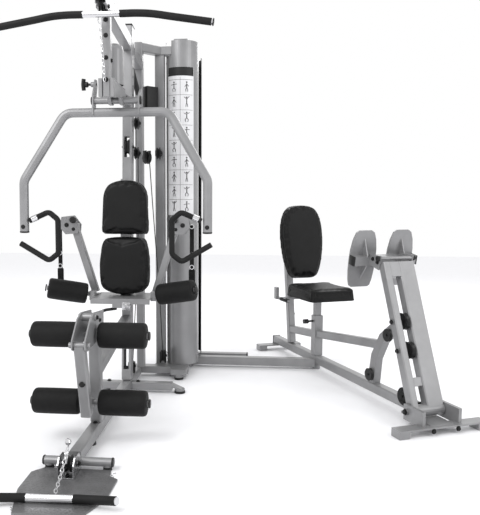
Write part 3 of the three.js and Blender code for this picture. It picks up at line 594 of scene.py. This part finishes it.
for side, sign in (("left", -1), ("right", 1)):
    rings = Shape()
    for z in (905, 760, 690):
        rings.ring([(9, -1.6), (12.4, -1.6), (12.4, 1.6), (9, 1.6)], at(sign * 358, -24.5, z), Y, 28)
    rings.finish(f"strap_{side}_rings", CHROME, f"strap_{side}", "chrome")
    cuff = Shape().slab(at(sign * 358, -20, 640), (34, 12, 74), None, 5)
    cuff.slab(at(sign * 358, -27, 652), (26, 4, 20), None, 1.5)
    cuff.finish(f"strap_{side}_cuff", WEBBING, f"strap_{side}", "webbing")

# Fixed pulleys and cable behind the upright: centre, disc radius, axis and the side their bracket runs to.
DIAGONAL = Vector((1, 1, 0)).normalized()
REAR_PULLEYS = [
    (at(30, 176, 1469), 35, X, -Y),
    (at(30, 166, 1305), 35, X, -Y),
    (at(80, 212, 1282), 35, DIAGONAL, Z),
    (at(128, 326, 1314), 35, X, Y),
    (at(150, 330, 122), 36, X, -Z),
    (at(0, 128, 108), 30, X, -Z),
]
rear = Shape()
brackets = Shape()
for centre, radius, axis, toward in REAR_PULLEYS:
    rear.ring([(5, -10), (radius - 2, -10), (radius, -8.5), (radius - 8, 0), (radius, 8.5),
               (radius - 2, 10), (5, 10)], centre, axis, 44)
    face = Matrix((axis, toward.cross(axis), toward)).transposed()
    for sign in (-1, 1):
        brackets.slab(centre + axis * sign * 0.0145 + toward * 0.008, (4, 34, radius + 28), face, 1.5)
    brackets.lathe([(5, -18), (5, 18)], centre, axis, 16)
    brackets.bolt(centre + axis * 0.0168, axis, 7.5)
rear.finish("rear_pulleys", PLASTIC, "frame", "black_plastic")
brackets.finish("rear_pulley_brackets", OXIDE, "frame", "dark_paint")
run = Shape().tube(curve_points([at(31, 143, 1469), at(31, 139, 1390), at(31, 134, 1305)]), 2.6, 10)
run.tube(curve_points([at(31, 199, 1305), at(34, 176, 900), at(16, 160, 420), at(0, 157, 110)]), 2.6, 10)
run.tube(curve_points([at(92, 224, 1268), at(104, 262, 1000), at(132, 310, 500), at(148, 322, 160)]), 2.6, 10)
run.finish("rear_cables", CABLE, "frame", "cable")
housing = Shape().slab(at(84, 334, 1623), (80, 40, 142), Matrix.Rotation(math.radians(45), 3, "Z"), 4)
housing.finish("gusset_housing", DARK, "frame", "dark_paint")
brace = Shape().tube([at(8, 150, 1762), at(26, 244, 1640)], 15, 20)
brace.finish("rear_brace", DARK, "frame", "dark_paint")

# ---- shrouds and chart ----
STACK = at(252, 450, 0)
CHART_RADIUS = 98


def on_shroud(across, height, stand):
    """A place on the chart's curve: across from its middle, height from the floor and stand from the
    shroud's axis, all in mm."""
    a = across / CHART_RADIUS - math.pi / 2
    return STACK + Vector((stand * math.cos(a), stand * math.sin(a), height)) / 1000


def stroke(shape, a, b, width):
    """Flat printed line on the chart."""
    steps = max(1, int(abs(a[0] - b[0]) / 6))
    along = Vector((b[0] - a[0], b[1] - a[1])).normalized()
    side = Vector((-along.y, along.x)) * width / 2
    rows = []
    for i in range(steps + 1):
        u = a[0] + (b[0] - a[0]) * i / steps
        w = a[1] + (b[1] - a[1]) * i / steps
        rows.append([shape.mesh.verts.new(on_shroud(u + s * side.x, w + s * side.y, stand))
                     for s, stand in ((-1, 98.2), (1, 98.2), (1, 98.7), (-1, 98.7))])
    for low, high in zip(rows, rows[1:]):
        for k in range(4):
            m = (k + 1) % 4
            shape.mesh.faces.new((low[k], low[m], high[m], high[k]))
    shape.mesh.faces.new(rows[0][::-1])
    shape.mesh.faces.new(rows[-1])


def figure(shape, x, z, pose):
    """Stick figure at work, feet at z."""
    arm, knee = pose
    stroke(shape, (x, z + 24), (x, z + 46), 5)
    stroke(shape, (x, z + 24), (x - knee, z + 12), 3.5)
    stroke(shape, (x - knee, z + 12), (x - 5, z), 3.5)
    stroke(shape, (x, z + 24), (x + knee, z + 12), 3.5)
    stroke(shape, (x + knee, z + 12), (x + 6, z), 3.5)
    stroke(shape, (x, z + 43), (x + arm[0], z + arm[1]), 3)
    stroke(shape, (x, z + 43), (x - arm[0], z + arm[1] - 4), 3)
    stroke(shape, (x - 4, z + 53), (x + 4, z + 53), 8)


POSES = [((16, 60), 4), ((18, 42), 9), ((12, 30), 6), ((17, 54), 10), ((14, 24), 5)]
ink = Shape()
for row in range(9):
    z = 968 + row * 86
    for column, x in enumerate((-38, 38)):
        figure(ink, x, z + 12, POSES[(row * 2 + column) % len(POSES)])
    stroke(ink, (-76, z + 80), (76, z + 80), 1.4)
stroke(ink, (0, 962), (0, 1750), 1.4)
ink.finish("chart_figures", INK, "frame", "chart")
header = Shape()
stroke(header, (-82, 1783), (82, 1783), 49)
header.finish("chart_header", DARK, "frame", "dark_paint")

rivets = Shape()
for z in (120, 620, 930, 1840, 1935):
    for a in (-0.35, math.pi + 0.35):
        out = Vector((math.cos(a), math.sin(a), 0))
        rivets.cap(STACK + out * 0.095 + Z * z / 1000, out, 5, 2.4)
rivets.finish("shroud_rivets", ZINC, "frame", "chrome")

# ---- lat bar and low bar ----
grips = Shape()
for sign in (-1, 1):
    route = [(84, 1871), (160, 1871), (232, 1866), (330, 1850), (494, 1824)]
    grips.tube(curve_points([at(sign * x, -504, z) for x, z in route]), 16.4, 20)
    grips.cap(at(sign * 500, -504, 1823), Vector((sign, 0, -0.16)), 17, 5)
grips.finish("lat_bar_grips", RUBBER, "lat_bar", "grip_rubber")
low_grips = Shape()
low_grips.tube(curve_points([at(-240, -1393, 41.2), at(-150, -1353, 27), at(-84, -1338.5, 23)]), 15.6, 20)
low_grips.tube(curve_points([at(240, -1368.4, 41.3), at(150, -1340, 27), at(84, -1331.5, 23)]), 15.6, 20)
low_grips.finish("low_bar_grips", RUBBER, "frame", "grip_rubber")

# ---- leg press ----
press_bolts = Shape()
for y in (-820, -560, -200):
    press_bolts.bolt(press(25, y, 62), PRESS_X, 8)
for x in (-60, 70):
    press_bolts.bolt(press(x, -1202, 22), -PRESS_Y, 9)
for sign in (-1, 1):
    press_bolts.bolt(press(sign * 113, -1065, 72), PRESS_X * sign, 11)
press_bolts.bolt(press(22.5, 372, 280), PRESS_X, 8).bolt(press(22.5, 366, 190), PRESS_X, 8)
press_bolts.finish("press_base_bolts", OXIDE, "frame", "dark_paint")

lever_bolts = Shape()
UP = Vector((0, 265, 663)).normalized()
for distance in (280, 420):
    lever_bolts.bolt(press(-92, -1065 + UP.y * distance, 72 + UP.z * distance), -PRESS_X, 9)
for sign in (-1, 1):
    for y, z in ((-740, 752), (-780, 738)):
        lever_bolts.bolt(press(sign * 93.2, y, z), PRESS_X * sign, 8)
lever_bolts.finish("leg_press_arm_bolts", OXIDE, "leg_press_arm", "dark_paint")

TILT = math.radians(11)
plate_turn = PRESS_SPIN @ Matrix.Rotation(TILT, 3, "X")


def on_plate(x, y, z):
    """A place in the foot plates' own frame, +Y towards the user."""
    place = Matrix.Rotation(TILT, 3, "X") @ Vector((x, y, z))
    return press(place.x, place.y - 668, place.z + 745)


treads = Shape()
for sign in (-1, 1):
    for k in range(-6, 7):
        width = 78 if abs(k) < 5 else 60
        treads.slab(on_plate(sign * 108, 9.2, k * 19), (width, 2.6, 7), plate_turn, 1)
treads.finish("foot_plate_treads", RUBBER, "leg_press_arm", "grip_rubber")
plate_bolts = Shape()
for sign in (-1, 1):
    for z in (-128, 128):
        plate_bolts.bolt(on_plate(sign * 108, 8, z), plate_turn @ Y, 6)
plate_bolts.finish("foot_plate_bolts", OXIDE, "leg_press_arm", "dark_paint")

handles = Shape()
for sign in (-1, 1):
    handles.slab(press(sign * 165, 118, 419.5), (26, 112, 23), PRESS_SPIN, 8)
handles.finish("press_handles", RUBBER, "seat_post", "grip_rubber")

press_caps = Shape()
for y in (-1003, 593):
    press_caps.slab(press(0, y, 62), (54, 8, 54), PRESS_SPIN, 2)
press_caps.finish("press_base_caps", PLASTIC, "frame", "black_plastic")

bumper = press(-62, -985, 118)
stop = Shape().ring([(6, -12), (40, -12), (43, -8), (43, 8), (40, 12), (6, 12)], bumper, PRESS_X, 36)
stop.lathe([(6, -18), (6, 18)], bumper, PRESS_X, 16)
stop.slab(press(-62, -985, 92), (30, 44, 10), PRESS_SPIN, 2)
stop.finish("press_bumper", RUBBER, "frame", "grip_rubber")
guide = Shape()
for y, z in ((-796, 372), (-642, 132)):
    centre = press(-34, y, z)
    guide.ring([(6, -9), (31, -9), (33, -7), (27, 0), (33, 7), (31, 9), (6, 9)], centre, PRESS_X, 40)
    guide.lathe([(6, -14), (6, 14)], centre, PRESS_X, 16)
guide.finish("press_guide_pulleys", PLASTIC, "frame", "black_plastic")
ends = Shape()
for sign in (-1, 1):
    ends.slab(on_plate(sign * 180.5, -22.5, 0), (8, 49, 48), plate_turn, 2)
ends.cap(press(97.4, -797, 758), PRESS_X, 14, 12).cap(press(-97.4, -797, 758), -PRESS_X, 14, 12)
ends.finish("foot_plate_caps", PLASTIC, "leg_press_arm", "black_plastic")

# ---- floor and light ----
ground = bpy.data.meshes.new("floor")
ground.from_pydata([(-9, -9, 0), (9, -9, 0), (9, 9, 0), (-9, 9, 0)], [], [(0, 1, 2, 3)])
floor = bpy.data.objects.new("floor", ground)
bpy.context.scene.collection.objects.link(floor)
ground.materials.append(material("pale_floor", grey(0.90), grey(0.92), 0.8, grain=60, bump=0.01, gloss=0.1))


def area_light(name, place, aim, size, power):
    data = bpy.data.lights.new(name, "AREA")
    data.size = size
    data.energy = power
    light = bpy.data.objects.new(name, data)
    light.location = place
    light.rotation_euler = (aim - place).to_track_quat("-Z", "Y").to_euler()
    bpy.context.scene.collection.objects.link(light)


AIM = Vector((0, 0, 0.9))
area_light("key", Vector((-2.6, -3.4, 4.2)), AIM, 2.2, 120)
area_light("fill", Vector((3.8, -2.4, 2.6)), AIM, 2.6, 40)
area_light("rim", Vector((0.4, 3.6, 3.6)), AIM, 2.5, 60)
world = bpy.data.worlds.new("studio")
world.use_nodes = True
world.node_tree.nodes["Background"].inputs["Color"].default_value = (1, 1, 1, 1)
world.node_tree.nodes["Background"].inputs["Strength"].default_value = 1.0
bpy.context.scene.world = world
bpy.context.scene.view_settings.view_transform = "Standard"
